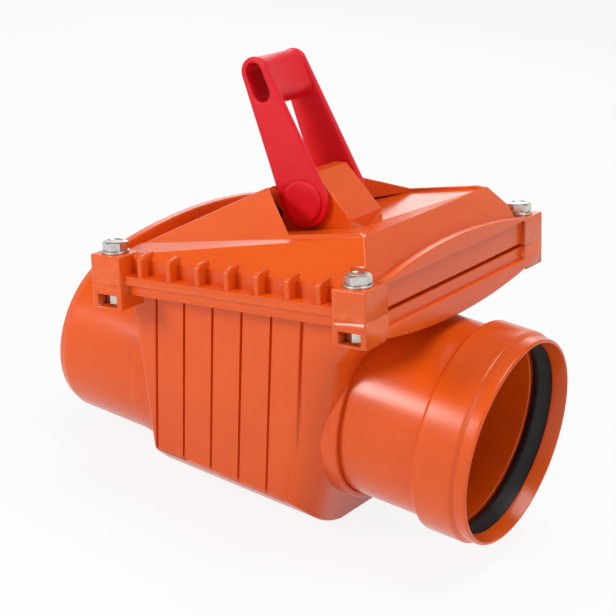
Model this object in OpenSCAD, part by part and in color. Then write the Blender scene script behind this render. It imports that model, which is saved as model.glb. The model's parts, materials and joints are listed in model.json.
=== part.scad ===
// Backwater valve for a drain pipe: ribbed chamber, bolted cover, swing flap and a yoke handle that locks it.
// +X points to the inlet socket, -X to the outlet spigot, +Z is up and the keel stands on z = 0.

/* [Pipes] */
// Outside diameter of the drain pipe
pipe_d = 110; // [106:1:114]
// Wall of the plain pipe end
pipe_wall = 3.2; // [2.6:0.1:4]
// Length over both pipe ends
valve_len = 297; // [285:1:320]
// Fall from the inlet axis to the outlet axis
pipe_fall = 18.8; // [15:0.1:21]
// Room under the outlet pipe
keel_room = 6.2; // [5.6:0.1:9]
// Radial clearance of a pipe pushed into the socket
socket_fit = 0.25; // [0.15:0.05:0.4]
// Wall of the socket neck
neck_wall = 3.8; // [3.2:0.1:5]
// Depth of the socket from its mouth to the pipe stop
socket_depth = 82; // [76:1:86]
// Length of the bead that holds the lip seal
bead_len = 26; // [24:0.5:32]
// Height of the bead over the neck
bead_step = 4.9; // [4:0.1:6]
// Length of the lip in front of the bead
lip_len = 8.5; // [7:0.1:10]
// Width of the lip seal
seal_len = 13; // [10:0.1:15]
// Depth of the groove for the lip seal
seal_depth = 6.2; // [5.6:0.1:6.8]
// Chamfer at the plain end
spigot_chamfer = 6; // [3:0.1:8]
// Length of the plain end in front of its collar
plain_len = 60; // [54:0.5:61]
// Height of the collar where the plain end enters the chamber
collar_step = 0.8; // [0.6:0.1:1.2]

/* [Chamber] */
// Wall of the chamber
wall = 4; // [3:0.1:4.6]
// Half width of the chamber at the keel
side_base = 61.6; // [60:0.1:66]
// Outward lean of the side panels
side_draft = 7.4; // [6:0.1:9]
// Reach of the inlet wall at the keel
front_base = 50; // [46:0.5:52]
// Outward lean of the inlet wall
front_draft = 7.6; // [6:0.1:9]
// Height of the waist under the flared rim over the inlet axis
waist_rise = 40; // [34:1:46]
// Corner radius beside the inlet
front_round = 22; // [16:1:28]
// Corner radius beside the outlet
rear_round = 4; // [3:0.5:8]
// Radius of the rounded belly
belly_r = 90; // [84:1:100]
// Half width of the flat keel
keel_half = 18; // [12:1:24]
// Number of grooves on each side panel
groove_count = 6; // [3:1:8]
// Pitch of the grooves
groove_pitch = 20.3; // [14:0.1:21]
// Width of a groove
groove_w = 1.8; // [1:0.1:3]
// Depth of a groove
groove_depth = 1.2; // [0.6:0.1:1.8]
// Wall of the boss round the neck
neck_boss = 3.6; // [2.5:0.1:5]
// Reach of the boss round the neck past the inlet wall
boss_reach = 4; // [2:0.5:8]

/* [Flange and cover] */
// Slope of the cover up towards the inlet
cover_tilt = 9.6; // [8.6:0.1:10.4]
// Middle of the cover along the pipe
cover_x = 6; // [4:0.5:8]
// Height of the middle of the cover over the inlet axis
cover_rise = 71; // [70:0.5:74]
// Half length of the cover
cover_half = 92.4; // [91:0.1:96]
// Half width of the cover over its corner bosses
cover_side = 103.8; // [102:0.1:108]
// Side of a square corner boss
boss_side = 21; // [20:0.1:23]
// Height of the cover's bosses
boss_h = 16.5; // [14:0.1:18]
// Depth of the chamber's bosses
nut_boss_h = 15; // [14.4:0.1:18]
// Thickness of the cover's lip
lip_h = 5; // [4:0.1:6]
// Set-back of the lip from the bosses
lip_back = 3.8; // [3:0.1:5]
// Set-back of the chamber flange from the lip
flange_back = 3.5; // [2:0.1:5]
// Thickness of the chamber flange
flange_h = 7; // [6:0.1:8]
// Thickness of the end plates
end_t = 6; // [5:0.1:7]
// Crown of the upper end plate over the bosses
end_crown = 8.5; // [6:0.1:10]
// Depth of the lower end plate at its middle
end_drop = 21; // [19:0.1:23]
// Radius of the lower edge of the end plate
end_drop_r = 500; // [460:5:560]
// Recess in the face of the end plates
end_recess = 1.5; // [0.8:0.1:2]
// Gap of the parting line, filled by the gasket
parting = 0.6; // [0.4:0.1:1]
// Width of the gasket
gasket_w = 4; // [3:0.1:5]
// Wall of the cover
cover_wall = 4; // [3:0.1:4.5]
// Number of ribs along each side of the cover
rib_count = 7; // [3:1:9]
// Thickness of a rib
rib_t = 3.5; // [2:0.1:5]
// Set-back of the wall behind the ribs from the lip
rib_depth = 8; // [6:0.1:9]
// Height of the wall behind the ribs
band_h = 14; // [12:0.1:15]
// Set-back of the roof's edge from the wall behind the ribs
band_w = 21; // [18:0.5:24]
// Height of the roof's edge at the outlet end
eave_low = 17; // [16:0.1:19]
// Height of the roof's edge at the inlet end
eave_high = 36.7; // [34:0.1:39]
// Length of the sloped end face of the roof
hip_len = 14.4; // [12:0.1:17]
// Depth of the dished floor beside the tower
dish_depth = 7.5; // [6.8:0.1:8]
// Width of the kerb that the pocket of the handle leaves along the eaves
kerb_w = 4.5; // [3:0.1:6]

/* [Tower and lock] */
// Position of the handle pivot along the cover
pivot_u = 1; // [0.4:0.1:1.8]
// Height of the handle pivot over the parting plane
pivot_w = 39.6; // [39.2:0.1:41]
// Half width of the tower
tower_half = 17.2; // [16:0.1:18.5]
// Height of the tower over the handle pivot
tower_top = 16.7; // [14:0.1:18]
// Reach of the tower past the handle pivot at its foot
tower_foot = 29; // [28:0.1:31]
// Height of the tower's foot
foot_h = 31; // [30.5:0.1:33]
// Height at which the planes of the hipped rise would meet the tower
hip_top = 57.5; // [56:0.1:60]
// Diameter of the lock shaft
shaft_d = 10; // [9:0.1:10.4]
// Radial running clearance
run_fit = 0.05; // [0.02:0.01:0.09]
// Wall of a shaft bush
bush_wall = 2.2; // [1.8:0.1:2.4]
// Clearance between the handle and the tower
side_gap = 0.3; // [0.2:0.1:0.6]
// Length of the lock finger
finger_len = 52; // [51:0.1:52.6]
// Width of the lock finger
finger_w = 8; // [6:0.1:10]
// Half depth of the lock finger at its toe
finger_tip = 3; // [2.6:0.1:3.4]
// Downward slope of the lock finger at rest
finger_rest = 40; // [39.5:0.5:41]
// Turn of the handle from free to locked
lock_turn = 50; // [47:1:51]
// Gap between the locked finger and the horn of the flap
lock_gap = 1; // [0.6:0.1:1.4]

/* [Handle] */
// Lean of the handle from upright at rest
handle_lean = 33; // [30:0.5:36]
// Distance from the pivot to the grip
handle_reach = 79.5; // [72:0.5:84]
// Thickness of an arm
arm_t = 4.5; // [3.5:0.1:6]
// Radius of the lower end of an arm
arm_foot_r = 15.8; // [14:0.1:16.2]
// Radius of the upper end of an arm
arm_head_r = 9; // [8:0.1:10]
// Depth of the grip along the arm past a plain round bar
grip_slot = 12.5; // [8:0.1:16]
// Wall of the hollow grip
grip_wall = 3.5; // [2.5:0.1:5]
// Radius of a pivot cap
cap_r = 12.6; // [11:0.1:13.4]
// Height of a pivot cap
cap_h = 2.2; // [1.4:0.1:3]

/* [Flap] */
// Distance of the flap hinge along the pipe
hinge_x = 46; // [45:0.1:47]
// Height of the flap hinge over the inlet axis
hinge_rise = 70; // [69:0.1:71]
// Lean of the closed flap
flap_lean = 10; // [9:0.1:11]
// Distance of the seat from the hinge axis
seat_offset = 2.3; // [2:0.1:2.6]
// Opening of the flap
open_turn = 45; // [40:1:46]
// Thickness of the flap plate
flap_t = 5; // [4:0.1:5.4]
// Height of the rim on the flap's back
flap_rim = 3; // [2:0.1:3.4]
// Thickness of the flap's face seal
face_seal = 3; // [2.4:0.1:3.4]
// Gap between the closed face seal and the seat
seat_gap = 0.3; // [0.2:0.05:0.4]
// Diameter of the hinge pin
pin_d = 8; // [7:0.1:9]
// Half width of the flap's hinge arm
knuckle_half = 15; // [13:0.1:17]
// Wall of the flap's hinge eye
knuckle_wall = 3; // [2.6:0.1:3.2]
// Thickness of a bracket ear
ear_t = 5; // [4:0.1:6]

/* [Fasteners] */
// Thread diameter of the cover bolts
bolt_d = 8; // [7:0.1:8.4]
// Width across the flats of the bolt heads and nuts
hex_flats = 13; // [12:0.1:14]
// Height of a bolt head
head_h = 5.3; // [4:0.1:6]
// Height of a nut
nut_h = 6.5; // [5:0.1:6.8]
// Radial clearance of a bolt in its hole
bolt_fit = 0.5; // [0.3:0.1:0.7]
// Diameter of a washer
washer_d = 16; // [15:0.1:18]
// Thickness of a washer
washer_t = 1.6; // [1.2:0.1:2]
// Diameter of the small screws
screw_d = 4; // [3:0.1:4.4]
// Number of screws in the seal retainer
retainer_count = 6; // [4:1:8]

/* [Hidden] */
$fn = 64;
hull_fn = 32;
sides = [-1, 1];
corners = [[-1, -1], [1, -1], [1, 1], [-1, 1]];
// Size of a cutting block that reaches past every piece
far = 400;
// Overlap that makes a cut pass its surface
eps = 0.5;
// Clearance of pieces that are pushed together
push_fit = 0.1;
// Inset that lets a straight side run into its round ends
side_inset = 0.05;

orange = [0.86, 0.36, 0.15];
red = [0.82, 0.1, 0.13];
black = [0.07, 0.07, 0.07];
steel = [0.76, 0.77, 0.78];
grey = [0.45, 0.46, 0.48];

// Pipes
pipe_r = pipe_d / 2;
inner_r = pipe_r - pipe_wall;
socket_r = pipe_r + socket_fit;
collar_r = pipe_r + collar_step;
neck_r = socket_r + neck_wall;
bead_r = neck_r + bead_step;
groove_r = socket_r + seal_depth;
lip_r = bead_r - 2;
mouth_r = lip_r - 2;
outlet_z = pipe_r + keel_room;
inlet_z = outlet_z + pipe_fall;
mouth_x = valve_len / 2;
collar_x = -mouth_x + plain_len;
stop_x = mouth_x - socket_depth;
bead_x1 = mouth_x - lip_len;
bead_x0 = bead_x1 - bead_len;
seal_x1 = bead_x1 - 0.5;
seal_x0 = seal_x1 - seal_len;

// Cover frame: u along the slope, v across, w off the parting plane
cover_z = inlet_z + cover_rise;
seam = parting / 2;
bolt_u = cover_half - boss_side / 2;
bolt_v = cover_side - boss_side / 2;
lip_v = cover_side - lip_back;
flange_v = lip_v - flange_back;
band_v = lip_v - rib_depth;
eave_v = band_v - band_w;
end_u = cover_half - end_t;
ridge_u = end_u - hip_len;
// Set-back of the rear wall and of the roof's lower edge
rear_back = 5.4;
// Width of the rim round the opening
rim_w = 8;
eave_u = end_u - rear_back;
rear_u = -cover_half + rear_back;
open_u = end_u - rim_w;
open_v = rim_y(rear_u, -flange_h) - wall;
crown_v = band_v - rim_w;
end_crown_r = (pow(crown_v, 2) + pow(end_crown, 2)) / (2 * end_crown);
recess_rim = 2.8;
recess_v = bolt_v - boss_side / 2 - recess_rim;
waist_z = inlet_z + waist_rise;
belly_z = sqrt(pow(belly_r, 2) - pow(keel_half, 2));
// Shift of the grooves towards the outlet
groove_shift = 6.5;
// Slot along the parting line in the end plates
slot_w = 2;
slot_depth = 1.5;

// Tower, handle and finger
shaft_r = shaft_d / 2;
bush_r = shaft_r + bush_wall;
bush_len = 1.4;
hub_r = shaft_r + 3.6;
bush_flange_r = bush_r + 1.2;
tower_w = pivot_w + tower_top;
tower_wall = cover_wall + 0.5;
tower_in = tower_half - tower_wall;
pivot_x = cover_x + pivot_u * cos(cover_tilt) - pivot_w * sin(cover_tilt);
pivot_z = cover_z + pivot_u * sin(cover_tilt) + pivot_w * cos(cover_tilt);
arm_y0 = tower_half + side_gap;
arm_y1 = arm_y0 + arm_t;
pocket_gap = 1;
taper = asin((arm_foot_r - arm_head_r) / handle_reach);
lock_angle = finger_rest + lock_turn;
// Set-back of the grip from the heads of the arms
grip_back = 0.4;

// Fasteners
bolt_r = bolt_d / 2;
hex_r = hex_flats / 2 / cos(30);
nut_top = -flange_h + 0.3;
nut_room = 0.3;
screw_r = screw_d / 2;

// Flap frame: origin on the hinge axis, z along the closed flap, x away from the outlet
hinge_z = inlet_z + hinge_rise;
flap_z = (seat_offset * sin(flap_lean) - hinge_rise) / cos(flap_lean);
flap_r = neck_r;
seal_face = seat_offset - seat_gap;
plate_x1 = seal_face - face_seal;
plate_x0 = plate_x1 - flap_t;
pin_r = pin_d / 2;
eye_r = pin_r + knuckle_wall;
ear_y0 = knuckle_half + 0.5;
ear_y1 = ear_y0 + ear_t;
pin_half = ear_y1 + 2.5;
clip_y = ear_y1 + 0.2;
clip_t = 0.9;
clip_groove_r = pin_r - 0.7;
base_top = inlet_z + neck_r + 3.7;
base_x0 = hinge_x + 3;
base_x1 = hinge_x + eye_r + 2 * screw_d + 0.5;
step_x = plate_x1 + face_seal / 2;
step_r = inner_r - 2.6;
// Width of the face seal under its retainer
seal_w = 10;
retainer_r = inner_r - 2 * seal_w;
retainer_t = 2.5;
small_r = 0.75 * screw_r;
horn_end = 0.5;
toe_x = pivot_x + finger_len * cos(lock_angle) - hinge_x;
toe_z = pivot_z - finger_len * sin(lock_angle) - lock_gap - hinge_z;
horn_x = toe_x * cos(flap_lean) - toe_z * sin(flap_lean);
horn_z = toe_x * sin(flap_lean) + toe_z * cos(flap_lean);

module on_cover() {
    translate([cover_x, 0, cover_z])
        rotate([0, -cover_tilt, 0])
            children();
}

module on_flap() {
    translate([hinge_x, 0, hinge_z])
        rotate([0, flap_lean, 0])
            children();
}

module on_pivot(turn) {
    translate([pivot_x, 0, pivot_z])
        rotate([0, turn, 0])
            children();
}

// A body of revolution about the pipe axis at height z, its outline drawn as radius and place along X
module pipe_spin(z) {
    translate([0, 0, z])
        rotate([0, 90, 0])
            rotate_extrude()
                children();
}

// A flat outline drawn in X and Z, as thick as the stretch from y0 to y1
module along_y(y0, y1) {
    translate([0, y1, 0])
        rotate([90, 0, 0])
            linear_extrude(y1 - y0)
                children();
}

// A flat outline drawn in Y and Z, as thick as the stretch from x0 to x1
module along_x(x0, x1) {
    translate([x0, 0, 0])
        rotate([90, 0, 90])
            linear_extrude(x1 - x0)
                children();
}

// The same on one side of the middle plane, from y0 to y1 away from it
module along_side(side, y0, y1) {
    along_y(side > 0 ? y0 : -y1, side > 0 ? y1 : -y0)
        children();
}

module rod_y(r, y0, y1) {
    translate([0, y1, 0])
        rotate([90, 0, 0])
            cylinder(r = r, h = y1 - y0);
}

module box(low, high) {
    translate(low)
        cube(high - low);
}

module round_rect(half_x, half_y, r) {
    square([2 * (half_x - r), 2 * half_y], center = true);
    square([2 * half_x, 2 * (half_y - r)], center = true);
    for (c = corners)
        translate([c[0] * (half_x - r), c[1] * (half_y - r)])
            circle(r);
}

module at_bolts() {
    for (c = corners)
        translate([c[0] * bolt_u, c[1] * bolt_v, 0])
            children();
}

// A solid between two loops of four points, mirrored across the middle plane.
// Its twisted sides are folded from the first low corner to the next high one, or the other way
module loft(low, high, outward) {
    sides_of = [for (i = [0 : 3]) let (j = (i + 1) % 4) (i < 2) == outward
        ? [[i + 4, j + 4, i], [j + 4, j, i]]
        : [[i + 4, j + 4, j], [i + 4, j, i]]];
    polyhedron(points = concat(low, high), convexity = 4,
        faces = concat([[0, 1, 2, 3], [7, 6, 5, 4]], [for (pair = sides_of) for (face = pair) face]));
}

// Chamber

function rear_x(z) = cover_x + ((z - cover_z) * -sin(cover_tilt) + rear_u) / cos(cover_tilt);
function front_x(z) = front_base + z * tan(front_draft);
function side_y(z) = side_base + z * tan(side_draft);
function rim_y(u, w) = side_y(cover_z + u * sin(cover_tilt) + w * cos(cover_tilt));

// Four corner posts of the chamber's outline at one height
module outline_posts(z, inset) {
    for (s = sides) {
        translate([front_x(z) - front_round, s * (side_y(z) - front_round), z])
            cylinder(r = front_round - inset, h = eps, $fn = hull_fn);
        translate([rear_x(z) + rear_round, s * (side_y(z) - rear_round), z])
            cylinder(r = rear_round - min(inset, rear_round - 0.5), h = eps, $fn = hull_fn);
    }
}

// The same posts just under the flange, set out towards the inlet
module rim_posts(w, inset) {
    front_u = end_u - front_round;
    back_u = rear_u + rear_round;
    on_cover()
        translate([0, 0, w])
            for (s = sides) {
                translate([front_u, s * (rim_y(front_u, w) - front_round), 0])
                    cylinder(r = front_round - inset, h = eps, $fn = hull_fn);
                translate([back_u, s * (rim_y(back_u, w) - rear_round), 0])
                    cylinder(r = rear_round - min(inset, rear_round - 0.5), h = eps, $fn = hull_fn);
            }
}

module belly(inset) {
    translate([-far, 0, belly_z])
        rotate([0, 90, 0])
            cylinder(r = belly_r - inset, h = 2 * far);
    box([-far, -far, belly_z], [far, far, far]);
}

module chamber_form(inset) {
    intersection() {
        union() {
            hull() {
                outline_posts(0, inset);
                outline_posts(waist_z, inset);
            }
            hull() {
                outline_posts(waist_z, inset);
                rim_posts(-flange_h + (inset > 0 ? flange_h : 0), inset);
            }
        }
        belly(inset);
        box([-far, -far, inset], [far, far, far]);
    }
}

module side_grooves() {
    first = -groove_pitch * (groove_count - 1) / 2 - groove_shift;
    for (s = sides)
        for (i = [0 : groove_count - 1])
            translate([first + i * groove_pitch, s * side_base, 0])
                rotate([-s * side_draft, 0, 0])
                    box([-groove_w / 2, -groove_depth, 0], [groove_w / 2, groove_depth, far / 2]);
}

// Half of an end plate, drawn in v and w, below the parting line
module lower_end() {
    intersection() {
        translate([-cover_side, -end_drop])
            square([2 * cover_side, end_drop - seam]);
        translate([0, end_drop_r - end_drop])
            circle(end_drop_r, $fn = 128);
    }
}

module nut_pocket() {
    half = hex_flats / 2 + nut_room;
    for (c = corners)
        translate([c[0] * bolt_u, c[1] * bolt_v, nut_top])
            box([-half, c[1] > 0 ? -hex_r - nut_room : -boss_side, -nut_h - nut_room],
                [half, c[1] > 0 ? boss_side : hex_r + nut_room, 0]);
}

// The slot that marks the parting line in the recess of each end plate
module seam_slot() {
    slot_u = cover_half - end_recess - slot_depth;
    for (s = sides)
        box([s > 0 ? slot_u : -cover_half, -recess_v, -slot_w / 2],
            [s > 0 ? cover_half : -slot_u, recess_v, slot_w / 2]);
}

module chamber() {
    color(orange)
        difference() {
            union() {
                difference() {
                    chamber_form(0);
                    side_grooves();
                }
                pipe_spin(inlet_z)
                    translate([0, front_x(0)])
                        square([neck_r + neck_boss, front_x(inlet_z) + boss_reach - front_x(0)]);
                on_cover() {
                    translate([0, 0, -flange_h])
                        linear_extrude(flange_h - seam)
                            square([2 * end_u + eps, 2 * flange_v], center = true);
                    at_bolts()
                        translate([-boss_side / 2, -boss_side / 2, -nut_boss_h])
                            cube([boss_side, boss_side, nut_boss_h - seam]);
                    along_x(end_u, cover_half)
                        lower_end();
                    along_x(-cover_half, -end_u)
                        lower_end();
                }
            }
            chamber_form(wall);
            pipe_spin(inlet_z)
                square([neck_r + push_fit, far]);
            pipe_spin(outlet_z)
                translate([0, -far])
                    square([collar_r + push_fit, far]);
            on_cover() {
                seam_slot();
                translate([0, 0, -flange_h - eps])
                    linear_extrude(flange_h + far)
                        round_rect(open_u, open_v, rear_round);
                at_bolts()
                    translate([0, 0, -far / 2])
                        cylinder(r = bolt_r + bolt_fit, h = far);
                nut_pocket();
                for (s = sides)
                    box([s > 0 ? cover_half - end_recess : -cover_half - eps, -recess_v, -flange_h - 1],
                        [s > 0 ? cover_half + eps : -cover_half + end_recess, recess_v, eps]);
            }
        }
}

// Pipes

module seat_cut() {
    on_flap()
        box([-far, -far / 2, -far], [seat_offset, far / 2, far]);
}

module at_bracket_screws() {
    for (s = sides)
        translate([hinge_x + eye_r + screw_d, s * (knuckle_half - eye_r), 0])
            children();
}

module inlet_socket() {
    color(orange)
        difference() {
            pipe_spin(inlet_z)
                polygon([[inner_r, 0], [inner_r, stop_x], [socket_r, stop_x], [socket_r, seal_x0],
                    [groove_r, seal_x0], [groove_r, seal_x1], [mouth_r - 2.5, seal_x1], [mouth_r, mouth_x],
                    [lip_r - 1, mouth_x], [lip_r, mouth_x - 1], [lip_r, bead_x1 + 1], [bead_r - 1, bead_x1],
                    [bead_r, bead_x1 - 1], [bead_r, bead_x0 + 2], [bead_r - 2, bead_x0], [neck_r, bead_x0],
                    [neck_r, 0]]);
            seat_cut();
            at_bracket_screws()
                translate([0, 0, inlet_z])
                    cylinder(r = screw_r + push_fit, h = far);
        }
}

module outlet_spigot() {
    color(orange)
        difference() {
            pipe_spin(outlet_z)
                polygon([[inner_r, -mouth_x], [pipe_r - 2, -mouth_x], [pipe_r, -mouth_x + spigot_chamfer],
                    [pipe_r, collar_x], [collar_r, collar_x + collar_step], [collar_r, 0], [inner_r, 0]]);
            on_cover()
                box([rear_u + wall, -far / 2, -far], [far, far / 2, far]);
        }
}

module socket_seal() {
    lip = socket_r + 0.35;
    root = groove_r - push_fit;
    heel = root - 3;
    color(black)
        pipe_spin(inlet_z)
            polygon([[root, seal_x0 + push_fit], [root, seal_x1 - push_fit], [root - 2, seal_x1 - push_fit],
                [heel, seal_x1 - 3], [lip, seal_x0 + 5], [lip, seal_x0 + 3], [heel, seal_x0 + push_fit]]);
}

// Cover

function eave_w(u) = eave_low + (eave_high - eave_low) * (u + eave_u) / (ridge_u + eave_u);

// The low roof between the eaves, drawn in by inset
module low_roof(inset) {
    foot_u = end_u - inset;
    foot_v = band_v - inset;
    foot_w = band_h - inset / 2;
    top_u = ridge_u - inset / 2;
    top_v = eave_v - inset / 2;
    box([-foot_u, -foot_v, 0], [foot_u, foot_v, foot_w]);
    loft([[-foot_u, -foot_v, foot_w - eps], [foot_u, -foot_v, foot_w - eps],
        [foot_u, foot_v, foot_w - eps], [-foot_u, foot_v, foot_w - eps]],
        [[-eave_u + inset, -top_v, eave_low - inset], [top_u, -top_v, eave_high - inset],
        [top_u, top_v, eave_high - inset], [-eave_u + inset, top_v, eave_low - inset]], true);
}

// What the dished floor beside the tower takes off the low roof, out to the middle of the kerbs
module dish(lower) {
    u0 = pivot_u - arm_foot_r * 3;
    uc = pivot_u + tower_foot;
    edge_v = eave_v - kerb_w / 2;
    edge = lower + dish_depth * kerb_w / 2 / eave_v;
    valley = lower + dish_depth;
    top = far / 2;
    polyhedron(points = [[u0, -edge_v, eave_w(u0) - edge], [ridge_u, -edge_v, eave_high - edge],
        [ridge_u, edge_v, eave_high - edge], [u0, edge_v, eave_w(u0) - edge],
        [u0, 0, eave_w(u0) - valley], [uc, 0, eave_w(uc) - valley],
        [u0, -edge_v, top], [ridge_u, -edge_v, top], [ridge_u, edge_v, top], [u0, edge_v, top]],
        faces = [[0, 1, 5, 4], [3, 4, 5, 2], [1, 2, 5], [0, 4, 3, 9, 6], [0, 6, 7, 1], [3, 2, 8, 9],
        [1, 7, 8, 2], [6, 9, 8, 7]], convexity = 4);
}

// What the handle's pocket takes off the hipped rise: a leaning wall behind the arms,
// then a splayed wall on each side that leaves a narrow kerb along the eaves
module pocket(shift) {
    splay = shift * sin(45);
    heel_u = pivot_u - 1.58 * arm_foot_r - splay;
    heel_v = arm_y1 + 1.5 + splay;
    kerb_u = pivot_u + 1.27 * arm_foot_r - splay;
    kerb_v = eave_v - kerb_w + splay;
    translate([pivot_u, 0, pivot_w])
        rotate([0, cover_tilt - handle_lean, 0])
            box([-arm_foot_r - pocket_gap - shift, -heel_v, -far], [far, heel_v, far]);
    for (s = sides)
        translate([0, 0, -far / 2])
            linear_extrude(far)
                polygon([[heel_u, s * heel_v], [kerb_u, s * kerb_v], [far, s * kerb_v], [far, 0],
                    [heel_u + heel_v, 0]]);
}

// The hipped rise from the outlet end up to the tower
module hip(inset) {
    low_u = eave_u - inset;
    low_v = eave_v - inset;
    low_w = eave_low - inset - eps;
    high_w = eave_high - inset - eps;
    top_v = tower_half - inset;
    top_w = hip_top - 1.5 * inset;
    difference() {
        loft([[-low_u, -low_v, low_w], [ridge_u, -low_v, high_w], [ridge_u, low_v, high_w],
            [-low_u, low_v, low_w]],
            [[pivot_u, -top_v, top_w], [pivot_u + 5, -top_v, top_w], [pivot_u + 5, top_v, top_w],
            [pivot_u, top_v, top_w]], false);
        pocket(inset);
    }
}

// The outline of the tower seen from the side, drawn in by inset
module tower_side(inset) {
    foot_u = pivot_u + tower_foot;
    below = band_h - 3 * inset;
    offset(delta = -inset)
        polygon([[pivot_u - 4 * arm_foot_r, below], [pivot_u - arm_foot_r, tower_w - 8],
            [pivot_u - arm_foot_r / 2, tower_w - 3], [pivot_u - 2, tower_w], [pivot_u + 6, tower_w],
            [foot_u, foot_h], [foot_u + 1.2, eave_w(foot_u) - dish_depth - 2], [foot_u + 1.2, below]]);
}

module upper_end() {
    top = boss_h + end_crown;
    intersection() {
        translate([-recess_v - 3, seam])
            square([2 * (recess_v + 3), top]);
        translate([0, top - end_crown_r])
            circle(end_crown_r, $fn = 128);
    }
}

module side_ribs() {
    first = -(rib_count - 1) / 2;
    pitch = 2 * (bolt_u - boss_side / 2) / (rib_count + 0.1);
    for (s = sides)
        for (i = [0 : rib_count - 1])
            translate([(first + i) * pitch, 0, 0])
                along_x(-rib_t / 2, rib_t / 2)
                    polygon([[s * (band_v - 5), lip_h - eps], [s * (lip_v - 0.6), lip_h - eps],
                        [s * (lip_v - 0.6), band_h + 1.5], [s * (lip_v - 2.5), band_h + 3],
                        [s * (band_v - 5), band_h + 4.3]]);
}

module cover_outside() {
    translate([0, 0, seam])
        linear_extrude(lip_h - seam)
            square([2 * end_u + eps, 2 * lip_v], center = true);
    difference() {
        low_roof(0);
        dish(0);
        box([-far, -far, -far], [far, far, seam]);
    }
    hip(0);
    along_y(-tower_half, tower_half)
        tower_side(0);
    for (s = sides)
        along_x(s > 0 ? end_u : -cover_half, s > 0 ? cover_half : -end_u)
            upper_end();
    at_bolts()
        translate([-boss_side / 2, -boss_side / 2, seam])
            cube([boss_side, boss_side, boss_h - seam]);
    side_ribs();
}

module cover_inside() {
    linear_extrude(2 * lip_h, center = true)
        round_rect(open_u, open_v, rear_round);
    difference() {
        low_roof(cover_wall);
        dish(cover_wall);
        box([-far, -far, -far], [far, far, lip_h]);
        at_bolts()
            linear_extrude(far)
                square(boss_side + 2 * cover_wall, center = true);
    }
    hip(cover_wall);
    along_y(-tower_in, tower_in)
        tower_side(0.75 * cover_wall);
}

module cover() {
    color(orange)
        on_cover()
            difference() {
                cover_outside();
                cover_inside();
                seam_slot();
                at_bolts() {
                    translate([0, 0, -far / 2])
                        cylinder(r = bolt_r + bolt_fit, h = far);
                    translate([0, 0, boss_h])
                        linear_extrude(far)
                            square(boss_side, center = true);
                }
                translate([pivot_u, 0, pivot_w])
                    rod_y(bush_r + push_fit, -tower_half - eps, tower_half + eps);
                for (s = sides)
                    box([s > 0 ? cover_half - end_recess : -cover_half - eps, -recess_v, -eps],
                        [s > 0 ? cover_half + eps : -cover_half + end_recess, recess_v, boss_h - 1]);
            }
}

module cover_gasket() {
    color(black)
        on_cover()
            translate([0, 0, -seam])
                linear_extrude(parting)
                    difference() {
                        round_rect(open_u + 1 + gasket_w, open_v + 1 + gasket_w, rear_round + 8);
                        round_rect(open_u + 1, open_v + 1, rear_round + 4);
                    }
}

// Fasteners of the cover

module hex_prism(h) {
    rotate([0, 0, 30])
        cylinder(r = hex_r, h = h, $fn = 6);
}

module cover_bolts() {
    seat = boss_h + washer_t;
    color(steel)
        on_cover()
            at_bolts() {
                translate([0, 0, seat])
                    intersection() {
                        hex_prism(head_h);
                        cylinder(r1 = hex_r + head_h, r2 = hex_r - 0.8, h = head_h);
                    }
                translate([0, 0, -nut_boss_h])
                    cylinder(r = bolt_r, h = nut_boss_h + seat + eps);
            }
}

module bolt_washers() {
    color(steel)
        on_cover()
            at_bolts()
                translate([0, 0, boss_h])
                    difference() {
                        cylinder(d = washer_d, h = washer_t);
                        translate([0, 0, -eps])
                            cylinder(r = bolt_r + push_fit, h = washer_t + 2 * eps);
                    }
}

module cover_nuts() {
    color(steel)
        on_cover()
            at_bolts()
                translate([0, 0, nut_top - nut_h])
                    difference() {
                        hex_prism(nut_h);
                        translate([0, 0, -eps])
                            cylinder(r = bolt_r + run_fit, h = nut_h + 2 * eps);
                    }
}

// Flap hinge

module hinge_bracket() {
    color(grey)
        difference() {
            union() {
                box([base_x0, -ear_y1, inlet_z], [base_x1, ear_y1, base_top]);
                for (s = sides)
                    along_side(s, ear_y0, ear_y1) {
                        translate([hinge_x, hinge_z])
                            circle(eye_r + 0.5);
                        polygon([[base_x0, base_top - 2], [base_x1, base_top - 2], [base_x1, base_top + 1],
                            [hinge_x + 4, hinge_z + eye_r - 1], [hinge_x - 1, hinge_z]]);
                    }
            }
            pipe_spin(inlet_z)
                square([neck_r + push_fit, far]);
            translate([hinge_x, 0, hinge_z])
                rod_y(pin_r + run_fit, -far, far);
            at_bracket_screws()
                cylinder(r = screw_r + push_fit, h = far);
        }
}

module bracket_screws() {
    color(steel)
        at_bracket_screws() {
            translate([0, 0, base_top])
                cylinder(r1 = 1.8 * screw_r, r2 = 1.4 * screw_r, h = 0.6 * screw_d);
            translate([0, 0, base_top - 2.2 * screw_d])
                cylinder(r = screw_r, h = 2.2 * screw_d + eps);
        }
}

module flap_pin() {
    color(steel)
        translate([hinge_x, 0, hinge_z])
            difference() {
                rod_y(pin_r, -pin_half, pin_half);
                for (s = sides)
                    difference() {
                        along_side(s, clip_y, clip_y + clip_t)
                            circle(pin_r + eps);
                        rod_y(clip_groove_r, -far, far);
                    }
            }
}

module pin_clips() {
    slot = 1.4 * clip_groove_r;
    color(steel)
        for (s = sides)
            translate([hinge_x, 0, hinge_z])
                along_side(s, clip_y + push_fit, clip_y + clip_t - push_fit)
                    difference() {
                        circle(eye_r);
                        circle(clip_groove_r + run_fit);
                        translate([-slot / 2, -far])
                            square([slot, far]);
                    }
}

module on_plate() {
    on_flap()
        translate([0, 0, flap_z])
            rotate([0, 90, 0])
                children();
}

// The circle of small screws that hold the seal retainer
module at_retainer_screws() {
    on_plate()
        for (i = [0 : retainer_count - 1])
            rotate([0, 0, (i + 0.5) * 360 / retainer_count])
                translate([inner_r - 6, 0, 0])
                    children();
}

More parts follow.
